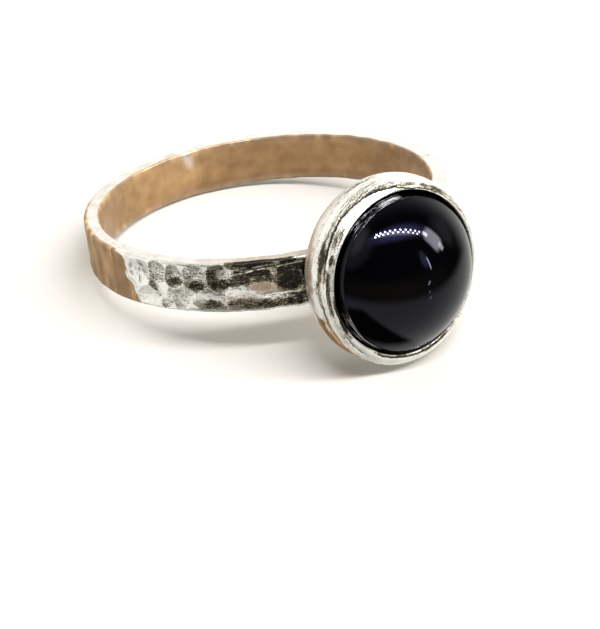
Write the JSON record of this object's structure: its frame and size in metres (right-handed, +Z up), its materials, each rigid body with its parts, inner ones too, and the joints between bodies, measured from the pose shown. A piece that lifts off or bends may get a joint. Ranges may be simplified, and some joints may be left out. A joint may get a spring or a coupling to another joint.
{
  "type": "onyx cabochon ring with a hammered band",
  "caption": "Finger ring: a plain round band with a hammered outer face and a round cup setting that holds a high-domed black stone, lying on its side.",
  "frame": {"origin": "on the surface the ring lies on, under the middle of its box", "axes": "+Z up; the stone faces -Y and the band runs back to +Y; +X to the right seen from the stone"},
  "size_m": [0.019, 0.0242, 0.0093],
  "materials": {
    "silver": "hammered and filed silver, blackened in the hollows beside the setting, worn bright on the edges",
    "onyx": "black stone, polished to a mirror"
  },
  "bodies": {
    "root": {"silver_ring": "silver", "onyx_cabochon": "onyx"}
  },
  "joints": []
}
